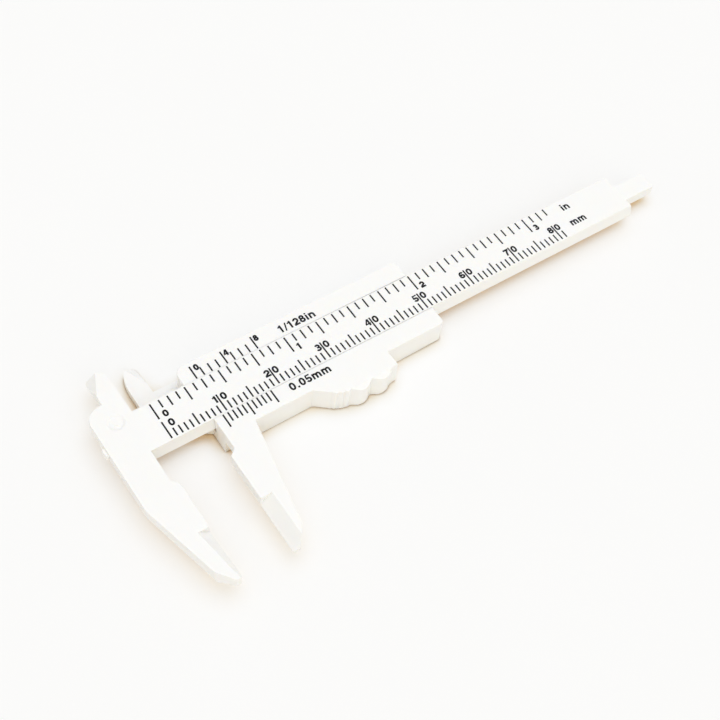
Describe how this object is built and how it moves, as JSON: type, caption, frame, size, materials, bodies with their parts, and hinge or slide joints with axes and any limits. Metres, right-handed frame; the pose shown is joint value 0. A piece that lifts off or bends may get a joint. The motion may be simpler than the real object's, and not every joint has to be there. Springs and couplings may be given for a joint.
{
  "type": "vernier caliper",
  "caption": "Small plastic vernier caliper with outside and inside jaws, a thumb rest and a depth rod.",
  "frame": {"origin": "middle of the caliper's bounding box at the height of the surface that the slider's back lies on, with the jaws 9 mm open", "axes": "+X along the scale towards the depth rod's end, +Y across the beam towards the inside jaws, +Z out of the printed face"},
  "size_m": [0.114, 0.0436, 0.0049],
  "materials": {
    "white_plastic": "satin moulded white",
    "printing_ink": "black printed ink"
  },
  "bodies": {
    "beam": {"beam": "white_plastic"},
    "slider": {"slider": "white_plastic", "depth_rod": "white_plastic"}
  },
  "joints": [
    {"name": "slider_travel", "type": "slide", "parent": "beam", "child": "slider", "axis": [1, 0, 0], "range_m": [-0.009, 0.071]}
  ]
}
